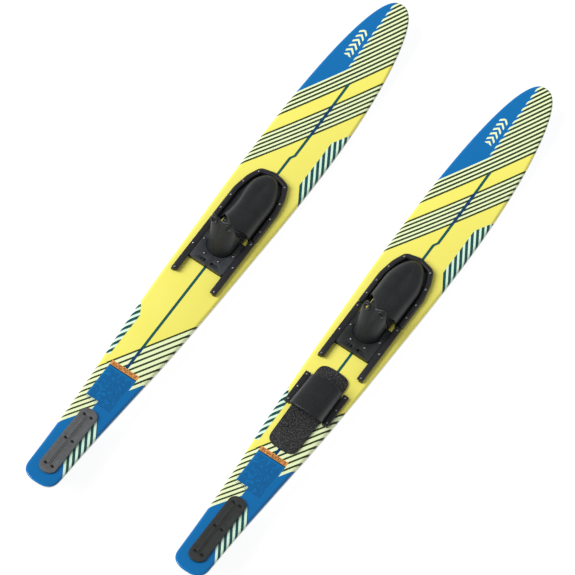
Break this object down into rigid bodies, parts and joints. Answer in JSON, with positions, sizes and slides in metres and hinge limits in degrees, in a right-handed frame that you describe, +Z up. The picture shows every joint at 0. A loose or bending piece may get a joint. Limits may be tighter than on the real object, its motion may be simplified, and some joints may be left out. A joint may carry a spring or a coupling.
{
  "type": "water ski pair",
  "caption": "Pair of recreational water skis with sliding rubber front bindings, tail fins and a rear toe piece on one ski.",
  "frame": {"origin": "centre of the pair's bounding box, on the ground the skis lie on", "axes": "+Y from the tails to the tips, +X from the left ski to the right ski, +Z up"},
  "size_m": [0.6024, 1.719, 0.1465],
  "materials": {
    "deck": "gloss print under a clear top sheet",
    "moulding": "fine-grained satin",
    "rubber": "smooth satin",
    "foam": "pebbled matte foam",
    "fin": "satin",
    "lock": "satin",
    "steel": "stainless, bright",
    "plate_grey": "satin",
    "plate_black": "satin"
  },
  "bodies": {
    "left_ski": {"left_ski": "deck", "left_fin": "fin", "left_fin_plate": "plate_grey", "left_fin_screw_1": "steel", "left_fin_screw_2": "steel", "left_fin_screw_3": "steel", "left_fin_screw_4": "steel", "left_fin_screw_5": "steel", "left_fin_screw_6": "steel", "left_toe_frame": "moulding", "left_toe_rubber": "rubber", "left_toe_pad": "foam", "left_outer_rail": "moulding", "left_outer_rail_screw_1": "steel", "left_outer_rail_screw_2": "steel", "left_inner_rail": "moulding", "left_inner_rail_screw_1": "steel", "left_inner_rail_screw_2": "steel"},
    "left_heel": {"left_slide_base": "moulding", "left_slide_cover": "moulding", "left_heel_rubber": "rubber", "left_heel_pad": "foam", "left_lock_spring": "steel"},
    "left_outer_bolt": {"left_outer_lock_bolt": "lock"},
    "left_inner_bolt": {"left_inner_lock_bolt": "lock"},
    "right_ski": {"right_ski": "deck", "right_fin": "fin", "right_fin_plate": "plate_black", "right_fin_screw_1": "steel", "right_fin_screw_2": "steel", "right_fin_screw_3": "steel", "right_fin_screw_4": "steel", "right_fin_screw_5": "steel", "right_fin_screw_6": "steel", "right_toe_frame": "moulding", "right_toe_rubber": "rubber", "right_toe_pad": "foam", "right_outer_rail": "moulding", "right_outer_rail_screw_1": "steel", "right_outer_rail_screw_2": "steel", "right_inner_rail": "moulding", "right_inner_rail_screw_1": "steel", "right_inner_rail_screw_2": "steel", "rear_foot_pad": "foam", "rear_toe_strap": "rubber", "rear_outer_clamp": "moulding", "rear_outer_clamp_screw_1": "steel", "rear_outer_clamp_screw_2": "steel", "rear_outer_clamp_screw_3": "steel", "rear_inner_clamp": "moulding", "rear_inner_clamp_screw_1": "steel", "rear_inner_clamp_screw_2": "steel", "rear_inner_clamp_screw_3": "steel"},
    "right_heel": {"right_slide_base": "moulding", "right_slide_cover": "moulding", "right_heel_rubber": "rubber", "right_heel_pad": "foam", "right_lock_spring": "steel"},
    "right_outer_bolt": {"right_outer_lock_bolt": "lock"},
    "right_inner_bolt": {"right_inner_lock_bolt": "lock"}
  },
  "joints": [
    {"name": "right_ski_apart", "type": "slide", "parent": "left_ski", "child": "right_ski", "axis": [1, 0, 0], "range_m": [0, 0.3]},
    {"name": "left_heel_slide", "type": "slide", "parent": "left_ski", "child": "left_heel", "axis": [0, 0.999, -0.0454], "range_m": [-0.048, 0]},
    {"name": "left_outer_bolt_pull", "type": "slide", "parent": "left_heel", "child": "left_outer_bolt", "axis": [1, 0, 0], "range_m": [0, 0.004], "stiffness_N_per_m": 300, "springref_m": -0.004, "deforming": ["left_lock_spring"]},
    {"name": "left_inner_bolt_pull", "type": "slide", "parent": "left_heel", "child": "left_inner_bolt", "axis": [-1, 0, 0], "range_m": [0, 0.004], "stiffness_N_per_m": 300, "springref_m": -0.004},
    {"name": "right_heel_slide", "type": "slide", "parent": "right_ski", "child": "right_heel", "axis": [0, 0.999, -0.0454], "range_m": [-0.048, 0]},
    {"name": "right_outer_bolt_pull", "type": "slide", "parent": "right_heel", "child": "right_outer_bolt", "axis": [-1, 0, 0], "range_m": [0, 0.004], "stiffness_N_per_m": 300, "springref_m": -0.004, "deforming": ["right_lock_spring"]},
    {"name": "right_inner_bolt_pull", "type": "slide", "parent": "right_heel", "child": "right_inner_bolt", "axis": [1, 0, 0], "range_m": [0, 0.004], "stiffness_N_per_m": 300, "springref_m": -0.004}
  ],
  "couplings": [
    {"joint": "left_inner_bolt_pull", "follows": "left_outer_bolt_pull", "ratio": 1},
    {"joint": "right_inner_bolt_pull", "follows": "right_outer_bolt_pull", "ratio": 1}
  ]
}
